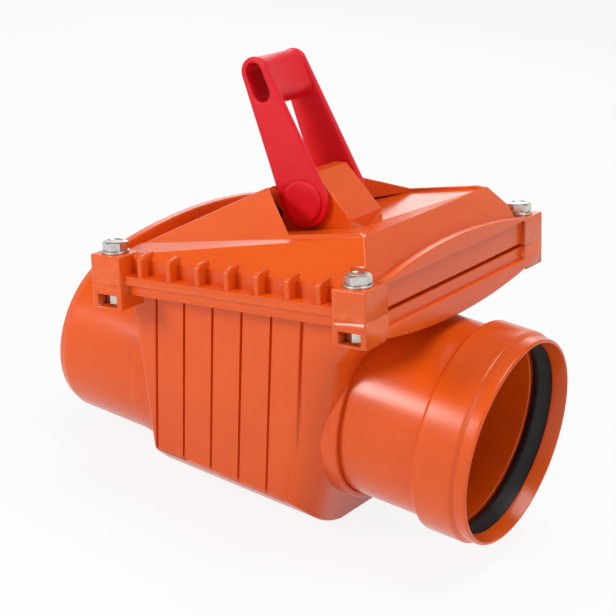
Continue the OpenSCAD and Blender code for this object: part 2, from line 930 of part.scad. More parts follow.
module flap_disc() {
    arm_back = plate_x0 - 5;
    plate_rib = knuckle_half + seal_w;
    rib_half = 0.64 * flap_r;
    horn_root = horn_z - (plate_x0 - horn_x) / tan(open_turn + flap_lean);
    color(grey)
        difference() {
            union() {
                on_plate()
                    rotate_extrude()
                        polygon([[0, plate_x0], [flap_r - 4, plate_x0], [flap_r - 4, plate_x0 - flap_rim],
                            [flap_r - 1, plate_x0 - flap_rim], [flap_r, plate_x0 - flap_rim + 1],
                            [flap_r, plate_x1], [0, plate_x1]]);
                on_flap() {
                    rod_y(eye_r, -knuckle_half, knuckle_half);
                    along_y(-knuckle_half, knuckle_half)
                        polygon([[-eye_r, 0], [arm_back, -eye_r - 9], [plate_x0, flap_z + 8],
                            [plate_x1, flap_z + 8], [plate_x1, -eye_r - 4], [0, -eye_r], [eye_r, 0]]);
                    along_y(-finger_w / 2, finger_w / 2)
                        polygon([[-eye_r, -eye_r - pin_r], [horn_x + finger_tip, horn_z],
                            [horn_x - horn_end, horn_z], [plate_x0, horn_root]]);
                    for (s = sides)
                        along_side(s, plate_rib, plate_rib + rib_t)
                            translate([plate_x0 - flap_rim, flap_z - rib_half])
                                square([flap_rim + eps, 2 * rib_half]);
                }
            }
            on_flap()
                rod_y(pin_r + run_fit, -far, far);
            at_retainer_screws()
                translate([0, 0, plate_x1 - flap_t + 1])
                    cylinder(r = small_r + push_fit, h = far);
        }
}

module flap_seal() {
    seal_in = inner_r - seal_w;
    seal_out = flap_r - 0.5;
    color(black)
        difference() {
            on_plate()
                rotate_extrude()
                    polygon([[seal_in, plate_x1], [seal_out, plate_x1], [seal_out, seal_face - 1],
                        [seal_out - 1, seal_face], [step_r, seal_face], [step_r, step_x], [seal_in, step_x]]);
            at_retainer_screws()
                translate([0, 0, -far / 2])
                    cylinder(r = small_r + push_fit, h = far);
        }
}

module seal_retainer() {
    rim = step_r - push_fit;
    color(steel)
        difference() {
            on_plate()
                rotate_extrude()
                    polygon([[retainer_r, step_x], [rim, step_x], [rim, step_x + retainer_t - 1],
                        [rim - 1, step_x + retainer_t], [retainer_r, step_x + retainer_t]]);
            at_retainer_screws()
                translate([0, 0, -far / 2])
                    cylinder(r = small_r + push_fit, h = far);
        }
}

module retainer_screws() {
    top = step_x + retainer_t;
    color(steel)
        at_retainer_screws() {
            translate([0, 0, top])
                cylinder(r1 = screw_r * 1.4, r2 = screw_r, h = 1.6);
            translate([0, 0, plate_x1 - flap_t + 1.2])
                cylinder(r = small_r, h = top - plate_x1 + flap_t - 1.2 + 0.2);
        }
}

// Lock

module shaft_bushes() {
    color(grey)
        for (s = sides)
            translate([pivot_x, 0, pivot_z])
                difference() {
                    union() {
                        along_side(s, tower_in - eps, tower_in + bush_len)
                            circle(bush_r);
                        along_side(s, tower_in - bush_len, tower_in)
                            circle(bush_flange_r);
                    }
                    rod_y(shaft_r + run_fit, -far, far);
                }
}

module shaft_seals() {
    section = (bush_wall - 2 * push_fit) / 2;
    color(black)
        for (s = sides)
            translate([pivot_x, s * (tower_in + bush_len + push_fit + section), pivot_z])
                rotate([90, 0, 0])
                    rotate_extrude()
                        translate([shaft_r + push_fit + section, 0])
                            circle(section);
}

// The outline of an arm in the handle's own frame: pivot at the origin, grip straight above it
module arm_outline() {
    foot = arm_foot_r - side_inset;
    head = arm_head_r - side_inset;
    circle(arm_foot_r);
    translate([0, handle_reach])
        circle(arm_head_r);
    polygon([[foot * cos(taper), foot * sin(taper)], [head * cos(taper), handle_reach + head * sin(taper)],
        [-head * cos(taper), handle_reach + head * sin(taper)], [-foot * cos(taper), foot * sin(taper)]]);
}

module grip_outline(r) {
    translate([0, handle_reach])
        circle(r);
    translate([0, handle_reach - grip_slot])
        circle(r);
    translate([side_inset - r, handle_reach - grip_slot])
        square([2 * (r - side_inset), grip_slot]);
}

module lock_handle() {
    color(red)
        on_pivot(-handle_lean)
            difference() {
                union() {
                    for (s = sides)
                        along_side(s, arm_y0, arm_y1)
                            arm_outline();
                    along_y(-arm_y0 - eps, arm_y0 + eps)
                        grip_outline(arm_head_r - grip_back);
                }
                along_y(-far / 2, far / 2)
                    grip_outline(arm_head_r - grip_wall);
                rod_y(shaft_r + run_fit, -far / 2, far / 2);
            }
}

module lock_shaft() {
    color(steel)
        difference() {
            on_pivot(0)
                rod_y(shaft_r, -arm_y1 + 0.2, arm_y1 - 0.2);
            on_pivot(finger_rest)
                translate([0, 0, -far / 2])
                    cylinder(r = small_r + push_fit, h = far);
        }
}

module lock_finger() {
    color(grey)
        difference() {
            on_pivot(finger_rest) {
                rod_y(hub_r, -finger_w + 1, finger_w - 1);
                along_y(-finger_w / 2, finger_w / 2) {
                    translate([finger_len - finger_tip, 0])
                        circle(finger_tip);
                    polygon([[0, hub_r / 2], [finger_len - finger_tip, finger_tip],
                        [finger_len - finger_tip, -finger_tip], [0, -hub_r + 1]]);
                }
            }
            on_pivot(0)
                rod_y(shaft_r + run_fit, -far, far);
            on_pivot(finger_rest)
                translate([0, 0, -far / 2])
                    cylinder(r = small_r + push_fit, h = far);
        }
}

module finger_pin() {
    color(steel)
        on_pivot(finger_rest)
            cylinder(r = small_r, h = 2 * hub_r - eps, center = true);
}

module pivot_caps() {
    color(red)
        for (s = sides)
            on_pivot(0)
                translate([0, s * arm_y1, 0])
                    rotate([-s * 90, 0, 0])
                        rotate_extrude()
                            polygon([[0, 0], [cap_r, 0], [cap_r, cap_h - 1], [cap_r - 1, cap_h], [0, cap_h]]);
}

chamber();
inlet_socket();
outlet_spigot();
socket_seal();
cover();
cover_gasket();
cover_bolts();
bolt_washers();
cover_nuts();
hinge_bracket();
bracket_screws();
flap_pin();
pin_clips();
shaft_bushes();
shaft_seals();
flap_disc();
flap_seal();
seal_retainer();
retainer_screws();
lock_handle();
lock_shaft();
lock_finger();
finger_pin();
pivot_caps();
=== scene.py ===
import bpy
import bmesh
import json
import math
from mathutils import Matrix, Vector


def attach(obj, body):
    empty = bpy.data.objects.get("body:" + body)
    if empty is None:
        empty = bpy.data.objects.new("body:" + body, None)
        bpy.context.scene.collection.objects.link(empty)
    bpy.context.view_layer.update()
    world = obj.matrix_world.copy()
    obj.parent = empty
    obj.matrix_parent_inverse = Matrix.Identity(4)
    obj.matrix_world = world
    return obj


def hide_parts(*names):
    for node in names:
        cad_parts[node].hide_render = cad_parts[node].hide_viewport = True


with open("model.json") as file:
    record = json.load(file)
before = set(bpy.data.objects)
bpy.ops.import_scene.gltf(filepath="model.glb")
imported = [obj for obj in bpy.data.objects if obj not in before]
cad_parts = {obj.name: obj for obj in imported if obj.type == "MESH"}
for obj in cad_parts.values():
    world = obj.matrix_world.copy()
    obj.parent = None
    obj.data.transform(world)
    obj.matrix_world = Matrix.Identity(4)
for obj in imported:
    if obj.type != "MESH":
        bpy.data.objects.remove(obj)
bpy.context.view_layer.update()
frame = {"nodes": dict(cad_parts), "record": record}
nodes = frame["nodes"]
scene = bpy.context.scene
scene.view_settings.view_transform = "Standard"
print("frame loaded:", len(nodes), "nodes")


# shader helpers

def newGroup(name, inputs, outputs):
    group = bpy.data.node_groups.new(name, "ShaderNodeTree")
    for label, kind, value in inputs:
        socket = group.interface.new_socket(name=label, in_out="INPUT", socket_type=kind)
        socket.default_value = value
    for label, kind in outputs:
        group.interface.new_socket(name=label, in_out="OUTPUT", socket_type=kind)
    return group, group.nodes.new("NodeGroupInput"), group.nodes.new("NodeGroupOutput")


def addNode(tree, kind, **values):
    node = tree.nodes.new(kind)
    for key, value in values.items():
        setattr(node, key, value)
    return node


# a socket takes a link from another node's output, or else a plain value
def feed(tree, value, socket):
    if hasattr(value, "is_output"):
        tree.links.new(value, socket)
    else:
        socket.default_value = value


def addNoise(tree, vector, scale, detail=2.0, rough=0.5):
    node = addNode(tree, "ShaderNodeTexNoise")
    for key, value in (("Vector", vector), ("Scale", scale), ("Detail", detail), ("Roughness", rough)):
        feed(tree, value, node.inputs[key])
    return node.outputs["Fac"]


def addMath(tree, operation, *values, clamp=False):
    node = addNode(tree, "ShaderNodeMath", operation=operation, use_clamp=clamp)
    for socket, value in zip(node.inputs, values):
        feed(tree, value, socket)
    return node.outputs[0]


# the places of the colour sockets on a Mix node
mixSocket = dict(factor=0, low=6, high=7, result=2)


def addMix(tree, factor, low, high):
    node = addNode(tree, "ShaderNodeMix", data_type="RGBA")
    for key, value in (("factor", factor), ("low", low), ("high", high)):
        feed(tree, value, node.inputs[mixSocket[key]])
    return node.outputs[mixSocket["result"]]


def addRange(tree, value, low, high, toLow, toHigh):
    node = addNode(tree, "ShaderNodeMapRange")
    keys = ("Value", "From Min", "From Max", "To Min", "To Max")
    for key, number in zip(keys, (value, low, high, toLow, toHigh)):
        feed(tree, number, node.inputs[key])
    return node.outputs["Result"]


def addStretch(tree, vector, scale):
    node = addNode(tree, "ShaderNodeMapping")
    node.inputs["Scale"].default_value = scale
    tree.links.new(vector, node.inputs["Vector"])
    return node.outputs["Vector"]


def objectPlace(tree):
    return addNode(tree, "ShaderNodeTexCoord").outputs["Object"]


# moulded skin: cloudy colour, fine grain and faint flow marks
skinLook = dict(cloud=26.0, cloudLow=0.35, cloudHigh=0.7, speckLow=0.42, speckHigh=0.62, speck=0.22,
    flow=(10.0, 22.0, 48.0), flowLow=0.3, flowHigh=0.7, swell=0.5)


def makeMouldedSkin():
    group, given, result = newGroup("mouldedSkin",
        [("Colour", "NodeSocketColor", (0.8, 0.2, 0.05, 1)), ("Deep", "NodeSocketColor", (0.5, 0.1, 0.03, 1)),
         ("Cloud", "NodeSocketFloat", 0.35), ("Grain", "NodeSocketFloat", 1600.0),
         ("Gloss", "NodeSocketFloat", 0.36), ("Spread", "NodeSocketFloat", 0.12)],
        [("Colour", "NodeSocketColor"), ("Roughness", "NodeSocketFloat"), ("Height", "NodeSocketFloat")])
    place = objectPlace(group)
    cloud = addNoise(group, place, skinLook["cloud"], detail=4.0, rough=0.55)
    fine = addNoise(group, place, given.outputs["Grain"], detail=2.0, rough=0.6)
    flow = addNoise(group, addStretch(group, place, skinLook["flow"]), 1.0, detail=3.0, rough=0.6)
    mask = addRange(group, cloud, skinLook["cloudLow"], skinLook["cloudHigh"], 0.0, 1.0)
    dots = addRange(group, fine, skinLook["speckLow"], skinLook["speckHigh"], 0.0, skinLook["speck"])
    tint = addMath(group, "MULTIPLY", mask, given.outputs["Cloud"])
    speck = addMath(group, "MULTIPLY", dots, given.outputs["Cloud"])
    both = addMath(group, "ADD", tint, speck, clamp=True)
    paint = addMix(group, both, given.outputs["Colour"], given.outputs["Deep"])
    sheen = addRange(group, flow, skinLook["flowLow"], skinLook["flowHigh"], -1.0, 1.0)
    rough = addMath(group, "MULTIPLY_ADD", sheen, given.outputs["Spread"], given.outputs["Gloss"])
    height = addMath(group, "MULTIPLY_ADD", cloud, skinLook["swell"], fine)
    for key, value in (("Colour", paint), ("Roughness", rough), ("Height", height)):
        group.links.new(value, result.inputs[key])
    return group


# rubbed edges and painted edge highlight: a mask from the pointiness of the mesh, which lightens convex edges
edgeWearAndHighlightLook = dict(patch=160.0, patchLow=0.35, patchHigh=0.65, least=0.25, edgeLow=0.52, edgeHigh=0.62)


def makeWornAndHighlitEdge():
    group, given, result = newGroup("wornAndHighlitEdge",
        [("Amount", "NodeSocketFloat", 0.5)], [("Mask", "NodeSocketFloat")])
    point = addNode(group, "ShaderNodeNewGeometry").outputs["Pointiness"]
    blot = addNoise(group, objectPlace(group), edgeWearAndHighlightLook["patch"], detail=3.0, rough=0.6)
    patch = addRange(group, blot, edgeWearAndHighlightLook["patchLow"], edgeWearAndHighlightLook["patchHigh"], edgeWearAndHighlightLook["least"], 1.0)
    edge = addRange(group, point, edgeWearAndHighlightLook["edgeLow"], edgeWearAndHighlightLook["edgeHigh"], 0.0, 1.0)
    mask = addMath(group, "MULTIPLY", edge, patch)
    shown = addMath(group, "MULTIPLY", mask, given.outputs["Amount"], clamp=True)
    group.links.new(shown, result.inputs["Mask"])
    return group


mouldedSkin = makeMouldedSkin()
wornAndHighlitEdge = makeWornAndHighlitEdge()


def newMaterial(name):
    material = bpy.data.materials.new(name)
    material.use_nodes = True
    tree = material.node_tree
    shader = tree.nodes["Principled BSDF"]
    return material, tree, shader


def useGroup(tree, group, **values):
    node = addNode(tree, "ShaderNodeGroup", node_tree=group)
    for key, value in values.items():
        node.inputs[key].default_value = value
    return node


bumpDepth = 0.0002


def addBump(tree, shader, height, strength):
    node = addNode(tree, "ShaderNodeBump")
    node.inputs["Strength"].default_value = strength
    node.inputs["Distance"].default_value = bumpDepth
    tree.links.new(height, node.inputs["Height"])
    tree.links.new(node.outputs["Normal"], shader.inputs["Normal"])


# the skin's roughness and grain on a shader, with the skin's colour left for the material to use
def useSkin(tree, shader, look):
    skin = useGroup(tree, mouldedSkin, Colour=look["colour"], Deep=look["deep"], Cloud=look["cloud"],
        Gloss=look["gloss"], Spread=look["spread"], Grain=look["grain"])
    tree.links.new(skin.outputs["Roughness"], shader.inputs["Roughness"])
    addBump(tree, shader, skin.outputs["Height"], look["bump"])
    shader.inputs["Specular IOR Level"].default_value = look["shine"]
    return skin.outputs["Colour"]


# a moulded plastic with its own colour, depth and gloss
plasticIor = 1.49


def makePlastic(name, look):
    material, tree, shader = newMaterial(name)
    # convex edges mixed towards the lighter edge colour: partly rubbed wear, partly painted edge highlight
    edge = useGroup(tree, wornAndHighlitEdge, Amount=look["wearAndHighlight"])
    paint = addMix(tree, edge.outputs["Mask"], useSkin(tree, shader, look), look["edge"])
    tree.links.new(paint, shader.inputs["Base Color"])
    shader.inputs["IOR"].default_value = plasticIor
    return material


# edge: the lighter colour of convex edges, partly rubbed wear and partly painted edge highlight
orangeLook = dict(colour=(0.78, 0.1, 0.005, 1), deep=(0.69, 0.076, 0.003, 1), edge=(0.9, 0.2, 0.06, 1),
    cloud=0.4, gloss=0.24, spread=0.04, grain=1500.0, wearAndHighlight=0.55, bump=0.04, shine=0.42)
redLook = dict(colour=(0.74, 0.008, 0.02, 1), deep=(0.64, 0.006, 0.014, 1), edge=(0.82, 0.08, 0.07, 1),
    cloud=0.4, gloss=0.4, spread=0.06, grain=1900.0, wearAndHighlight=0.5, bump=0.08, shine=0.3)
greyLook = dict(colour=(0.17, 0.175, 0.185, 1), deep=(0.11, 0.115, 0.12, 1), edge=(0.3, 0.3, 0.31, 1),
    cloud=0.5, gloss=0.5, spread=0.08, grain=1700.0, wearAndHighlight=0.6, bump=0.2, shine=0.4)
orangePlastic = makePlastic("orangePlastic", orangeLook)
redPlastic = makePlastic("redPlastic", redLook)
greyPlastic = makePlastic("greyPlastic", greyLook)


# black rubber with a chalky bloom
rubberLook = dict(colour=(0.012, 0.012, 0.013, 1), deep=(0.024, 0.023, 0.022, 1), cloud=0.6, gloss=0.52,
    spread=0.1, grain=2300.0, bump=0.3, shine=0.28)


def makeRubber():
    material, tree, shader = newMaterial("sealRubber")
    tree.links.new(useSkin(tree, shader, rubberLook), shader.inputs["Base Color"])
    return material


# bright zinc plate, a little warm, with fine drawn marks and dull patches, and convex edges lightened as
# rubbed wear and painted highlight
zincLook = dict(patch=220.0, patchLow=0.35, patchHigh=0.65, drawn=(900.0, 900.0, 120.0), bump=0.2, wearAndHighlight=0.8,
    dull=(0.46, 0.44, 0.41, 1), bright=(0.64, 0.615, 0.57, 1), edge=(0.8, 0.78, 0.73, 1),
    glossLow=0.3, glossHigh=0.7, smooth=0.2, rough=0.4)


def makeZinc():
    material, tree, shader = newMaterial("zincSteel")
    place = objectPlace(tree)
    patch = addNoise(tree, place, zincLook["patch"], detail=4.0, rough=0.6)
    drawn = addNoise(tree, addStretch(tree, place, zincLook["drawn"]), 1.0)
    # the lighter edge colour on convex edges is partly rubbed wear and partly painted highlight
    edge = useGroup(tree, wornAndHighlitEdge, Amount=zincLook["wearAndHighlight"])
    mask = addRange(tree, patch, zincLook["patchLow"], zincLook["patchHigh"], 0.0, 1.0)
    tint = addMix(tree, mask, zincLook["dull"], zincLook["bright"])
    paint = addMix(tree, edge.outputs["Mask"], tint, zincLook["edge"])
    gloss = addRange(tree, patch, zincLook["glossLow"], zincLook["glossHigh"],
        zincLook["smooth"], zincLook["rough"])
    tree.links.new(paint, shader.inputs["Base Color"])
    tree.links.new(gloss, shader.inputs["Roughness"])
    shader.inputs["Metallic"].default_value = 1.0
    addBump(tree, shader, drawn, zincLook["bump"])
    return material


sealRubber = makeRubber()
zincSteel = makeZinc()
finishes = {"orange_plastic": orangePlastic, "red_plastic": redPlastic, "grey_plastic": greyPlastic,
    "seal_rubber": sealRubber, "zinc_steel": zincSteel}
behaviour = frame["record"]["behaviour"]
slotOf = {entry["node"]: entry["material_slot"] for entry in frame["record"]["subparts"]}
bodyOf = {name: body for body, names in behaviour["bodies"].items() for name in names}
jointAt = {joint["name"]: joint["pos_m"] for joint in behaviour["joints"]}
print("materials made:", ", ".join(finishes))


# the tilted places that the cover, the flap and its plate are drawn in
tilted = dict(coverMiddle=(0.006, 0, 0.151), coverTilt=9.6, flapTilt=10.0, plateDrop=0.070674)


def turnedAt(place, degrees):
    return Matrix.Translation(place) @ Matrix.Rotation(math.radians(degrees), 4, "Y")


coverPlace = turnedAt(tilted["coverMiddle"], -tilted["coverTilt"])
coverInverse = coverPlace.inverted()
flapPlace = turnedAt(jointAt["flap_swing"], tilted["flapTilt"])
platePlace = flapPlace @ turnedAt((0, 0, -tilted["plateDrop"]), 90)


# edges: how near the parting plane one counts as on it, how straight one runs on into the next, and the
# share of a neighbour that breaking it can take
edgeRule = dict(seam=0.0004, inLine=0.85, share=0.42)


# the edges along the parting plane stay crisp, so that the two mouldings close on a fine line
def onSeam(e):
    return all(abs((coverInverse @ v.co).z) < edgeRule["seam"] for v in e.verts)


# how wide an edge can be broken without running into its neighbours
def edgeRoom(e, sharp, width):
    room = width
    along = (e.verts[1].co - e.verts[0].co).normalized()
    for v in e.verts:
        for f in v.link_edges:
            if f is e or not set(f.link_faces) & set(e.link_faces):
                continue
            across = (f.other_vert(v).co - v.co).normalized()
            if f in sharp and abs(across.dot(along)) > edgeRule["inLine"]:
                continue
            room = min(room, edgeRule["share"] * f.calc_length())
    return room


# fins of two like faces, back to back, that breaking an edge can leave behind
def backToBack(bm):
    alike = {}
    for f in bm.faces:
        alike.setdefault(frozenset(f.verts), []).append(f)
    return [f for faces in alike.values() if len(faces) > 1 for f in faces]


def newPiece(pieceName, mesh, nodeName):
    piece = bpy.data.objects.new(pieceName, mesh)
    scene.collection.objects.link(piece)
    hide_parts(nodeName)
    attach(piece, bodyOf[nodeName])
    return piece


# a mesh with its weighted edges rounded
def rounded(mesh, edge):
    draft = bpy.data.objects.new("draft", mesh)
    scene.collection.objects.link(draft)
    bevel = draft.modifiers.new("edges", "BEVEL")
    bevel.width = edge["width"]
    bevel.segments = edge["segments"]
    bevel.limit_method = "WEIGHT"
    bevel.use_clamp_overlap = False
    made = bpy.data.meshes.new_from_object(draft.evaluated_get(bpy.context.evaluated_depsgraph_get()))
    bpy.data.objects.remove(draft)
    return made


# a node's own shape with its edges broken, as a mould or a tool leaves them
def softEdged(pieceName, nodeName, edge, reshape=None):
    mesh = nodes[nodeName].data.copy()
    bm = bmesh.new()
    bm.from_mesh(mesh)
    bmesh.ops.remove_doubles(bm, verts=bm.verts, dist=edge["weld"])
    bmesh.ops.dissolve_degenerate(bm, edges=bm.edges, dist=edge["weld"])
    bmesh.ops.dissolve_limit(bm, angle_limit=math.radians(edge["flat"]), verts=bm.verts, edges=bm.edges)
    bmesh.ops.connect_verts_concave(bm, faces=bm.faces)
    if reshape:
        reshape(bm)
    weight = bm.edges.layers.float.new("bevel_weight_edge")
    sharp = {e for e in bm.edges if e.is_manifold and e.calc_face_angle(0) > math.radians(edge["sharp"])}
    for e in sharp:
        share = edgeRoom(e, sharp, edge["width"]) / edge["width"]
        e.smooth = e.is_convex and share > edge["least"] and not onSeam(e)
        e[weight] = share if e.smooth else 0.0
    bm.to_mesh(mesh)
    made = rounded(mesh, edge)
    bm.clear()
    bm.from_mesh(made)
    bmesh.ops.dissolve_degenerate(bm, edges=bm.edges, dist=edge["weld"])
    bmesh.ops.triangulate(bm, faces=[f for f in bm.faces if len(f.verts) > 4])
    bmesh.ops.delete(bm, geom=backToBack(bm), context="FACES")
    for f in bm.faces:
        f.smooth = True
        f.material_index = 0
    bm.to_mesh(made)
    bm.free()
    made.name = pieceName
    made.materials.clear()
    made.materials.append(finishes[slotOf[nodeName]])
    piece = newPiece(pieceName, made, nodeName)
    shade = piece.modifiers.new("flats", "WEIGHTED_NORMAL")
    shade.weight = 100
    shade.keep_sharp = True
    return piece


# housing: the edges of each moulding, with angles in degrees and lengths in metres
plainEdge = dict(weld=1e-5, least=0.3, flat=0.3)
chamberEdge = dict(weld=1e-5, least=0.8, flat=0.6, width=0.0009, segments=3, sharp=20.0)
coverEdge = dict(weld=1e-5, least=0.5, flat=0.6, width=0.0011, segments=3, sharp=7.0)
socketEdge = dict(plainEdge, width=0.0008, segments=3, sharp=28.0)
spigotEdge = dict(plainEdge, width=0.0006, segments=3, sharp=14.0)
relief = dict(groove=0.0012, sideBase=0.0616, draft=7.4, grooveMore=0.0011, recess=0.0909, recessMore=0.0013,
    slot=0.0894, slotMore=0.005, bossU=0.0712, bossV=0.0826, seam=0.0003, touch=0.00004,
    near=5e-5, nearGroove=4e-5)


# the end plates' recess and seam slot cut deeper, and the corner bosses closed up to the parting plane
def reliefEnds(bm):
    for v in bm.verts:
        place = coverInverse @ v.co
        for floor in ("recess", "slot"):
            if abs(abs(place.x) - relief[floor]) < relief["near"]:
                place.x -= math.copysign(relief[floor + "More"], place.x)
                break
        if abs(place.x) > relief["bossU"] and abs(place.y) > relief["bossV"]:
            if abs(abs(place.z) - relief["seam"]) < relief["near"]:
                place.z = math.copysign(relief["touch"], place.z)
        v.co = coverPlace @ place


# the same, and the grooves of the side panels cut deeper
def reliefPanels(bm):
    reliefEnds(bm)
    lean = math.radians(relief["draft"])
    for v in bm.verts:
        depth = (relief["sideBase"] + v.co.z * math.tan(lean) - abs(v.co.y)) * math.cos(lean)
        if abs(depth - relief["groove"]) < relief["nearGroove"]:
            v.co.y -= math.copysign(relief["grooveMore"], v.co.y)


chamberShell = softEdged("chamberShell", "chamber", chamberEdge, reliefPanels)
coverShell = softEdged("coverShell", "cover", coverEdge, reliefEnds)
socketPipe = softEdged("socketPipe", "inlet_socket", socketEdge)
spigotPipe = softEdged("spigotPipe", "outlet_spigot", spigotEdge)


# pieces built from rings of points, drawn in millimetres

perMetre = 1000
threadRows = 6


def stepsOf(count):
    return [2 * math.pi * i / count for i in range(count)]


def roundRing(radius, z, count):
    return [Vector((radius * math.cos(a), radius * math.sin(a), z)) for a in stepsOf(count)]


def hexReach(flats, angle):
    return flats / 2 / math.cos((angle + math.pi / 6) % (math.pi / 3) - math.pi / 6)


# a hexagon ring whose height drops towards its corners by the cut of a cone, where a slope is given
def hexRing(flats, z, count, cone=0.0, slope=0.0):
    ring = []
    for a in stepsOf(count):
        reach = hexReach(flats, a)
        drop = slope * max(0.0, reach - cone)
        ring.append(Vector((reach * math.cos(a), reach * math.sin(a), z - drop)))
    return ring


# a screw thread: each row's radius follows the turn of the helix
def threadRings(radius, depth, pitch, low, high, count):
    rows = int((high - low) / pitch * threadRows)
    rings = []
    for k in range(rows + 1):
        z = low + (high - low) * k / rows
        fade = min(1.0, k / threadRows, (rows - k) / threadRows)
        ring = []
        for a in stepsOf(count):
            phase = (z / pitch - a / (2 * math.pi)) % 1.0
            r = radius - depth * fade * (1 - abs(2 * phase - 1))
            ring.append(Vector((r * math.cos(a), r * math.sin(a), z)))
        rings.append(ring)
    return rings


# a skin over the rings, with flat ends, or else closed from the last ring to the first
def addRings(bm, place, rings, ends=True):
    loops = [[bm.verts.new(place @ (point / perMetre)) for point in ring] for ring in rings]
    count = len(loops[0])
    stretch = list(zip(loops, loops[1:])) + ([] if ends else [(loops[-1], loops[0])])
    for low, high in stretch:
        for i in range(count):
            bm.faces.new((low[i], low[(i + 1) % count], high[(i + 1) % count], high[i]))
    if ends:
        bm.faces.new(loops[0][::-1])
        bm.faces.new(loops[-1])


# edges under the smooth angle, in degrees, are shaded round
def finishRings(bm, pieceName, nodeName, smooth):
    bmesh.ops.recalc_face_normals(bm, faces=bm.faces)
    for e in bm.edges:
        e.smooth = len(e.link_faces) == 2 and e.calc_face_angle(0) < math.radians(smooth)
    for f in bm.faces:
        f.smooth = True
    mesh = bpy.data.meshes.new(pieceName)
    bm.to_mesh(mesh)
    bm.free()
    mesh.materials.append(finishes[slotOf[nodeName]])
    return newPiece(pieceName, mesh, nodeName)


def ringPiece(pieceName, nodeName, places, parts, smooth):
    bm = bmesh.new()
    for place in places:
        for rings, ends in parts:
            addRings(bm, place, rings, ends)
    return finishRings(bm, pieceName, nodeName, smooth)


# yoke handle: two tapered arms with a long oval eye, joined by a hollow grip, all one closed skin
handle = dict(lean=33.0, reach=79.5, footR=15.8, headR=9.0, slot=12.5, slotR=5.5, barR=8.45, inner=17.5,
    outer=22.0, edge=1.3, eyeEdge=1.0, flare=0.5, crease=0.05, fillet=((0.35, 0.15), (1.0, 0.0)),
    steps=5, count=168, smooth=50)


# the outline of an arm, drawn in by inset, as points along its edge
def armOutline(inset):
    foot, head, reach = handle["footR"] - inset, handle["headR"] - inset, handle["reach"]
    lean = math.asin((foot - head) / reach)
    corner = math.pi + 2 * lean
    lower, side, upper = foot * corner, reach * math.cos(lean), head * (2 * math.pi - corner)
    points = []
    for i in range(handle["count"]):
        d = i / handle["count"] * (lower + upper + 2 * side)
        if d < lower:
            a = math.pi - lean + d / foot
            points.append(Vector((foot * math.cos(a), foot * math.sin(a))))
        elif d < lower + side:
            t = (d - lower) / side
            tip = Vector((math.cos(lean), math.sin(lean)))
            points.append((foot * (1 - t) + head * t) * tip + Vector((0, reach * t)))
        elif d < lower + side + upper:
            a = lean + (d - lower - side) / head
            points.append(Vector((head * math.cos(a), reach + head * math.sin(a))))
        else:
            t = (d - lower - side - upper) / side
            tip = Vector((-math.cos(lean), math.sin(lean)))
            points.append((head * (1 - t) + foot * t) * tip + Vector((0, reach * (1 - t))))
    return points


# where a ray from the middle of the eye meets an oval of that radius
def ovalReach(direction, radius):
    half, x, y = handle["slot"] / 2, abs(direction.x), abs(direction.y)
    if x > 1e-9 and radius / x * y <= half:
        return radius / x
    return y * half + math.sqrt(max(0.0, (y * half) ** 2 - half ** 2 + radius ** 2))


# an oval round the eye, kept inside the outline where a margin is given
def ovalOutline(radius, outline, margin=None):
    middle = Vector((0, handle["reach"] - handle["slot"] / 2))
    points = []
    for p in outline:
        ray = p - middle
        reach = ovalReach(ray.normalized(), radius)
        if margin is not None:
            reach = min(reach, ray.length - margin)
        points.append(middle + ray.normalized() * reach)
    return points


def atHeight(outline, y):
    return [Vector((p.x, y, p.y)) for p in outline]


# half of the handle: out of the eye, over the edges of the arm and along the grip
def handleHalf(side):
    rim, eye, outer, inner = handle["edge"], handle["eyeEdge"], handle["outer"], handle["inner"]
    bend = [math.radians(90 * i / handle["steps"]) for i in range(handle["steps"] + 1)]
    turns = [(1 - math.cos(a), 1 - math.sin(a)) for a in bend]
    base, face = armOutline(0), armOutline(rim)
    rings = [atHeight(ovalOutline(handle["slotR"] + eye * c, base), side * (outer - eye * s))
        for c, s in turns]
    rings += [atHeight(armOutline(rim * s), side * (outer - rim * c)) for c, s in turns]
    rings += [atHeight(armOutline(rim * c), side * (inner + rim * s)) for c, s in turns]
    root = ovalOutline(handle["barR"] + handle["flare"], face, handle["crease"])
    rings.append(atHeight(root, side * inner))
    for back, out in handle["fillet"]:
        rings.append(atHeight(ovalOutline(handle["barR"] + out, face), side * (inner - back)))
    return rings


def makeHandle():
    bm = bmesh.new()
    place = turnedAt(jointAt["handle_turn"], -handle["lean"])
    addRings(bm, place, handleHalf(1) + handleHalf(-1)[::-1], False)
    return finishRings(bm, "yokeHandle", "lock_handle", handle["smooth"])


yokeHandle = makeHandle()
capEdge = dict(plainEdge, width=0.0007, segments=3, sharp=28.0)
pivotCaps = softEdged("pivotCaps", "pivot_caps", capEdge)

# seals
sealEdge = dict(plainEdge, width=0.0006, segments=3, sharp=20.0)
gasketEdge = dict(plainEdge, width=0.0001, segments=2, sharp=30.0)
lipSeal = softEdged("lipSeal", "socket_seal", sealEdge)
coverGasket = softEdged("coverGasket", "cover_gasket", gasketEdge)
faceSeal = softEdged("faceSeal", "flap_seal", sealEdge)

# moulded inner works
mouldedEdge = dict(plainEdge, width=0.0006, segments=2, sharp=25.0)
bushEdge = dict(plainEdge, width=0.0003, segments=2, sharp=25.0)
hingeSaddle = softEdged("hingeSaddle", "hinge_bracket", mouldedEdge)
flapPlate = softEdged("flapPlate", "flap_disc", mouldedEdge)
lockFinger = softEdged("lockFinger", "lock_finger", mouldedEdge)
shaftBushes = softEdged("shaftBushes", "shaft_bushes", bushEdge)

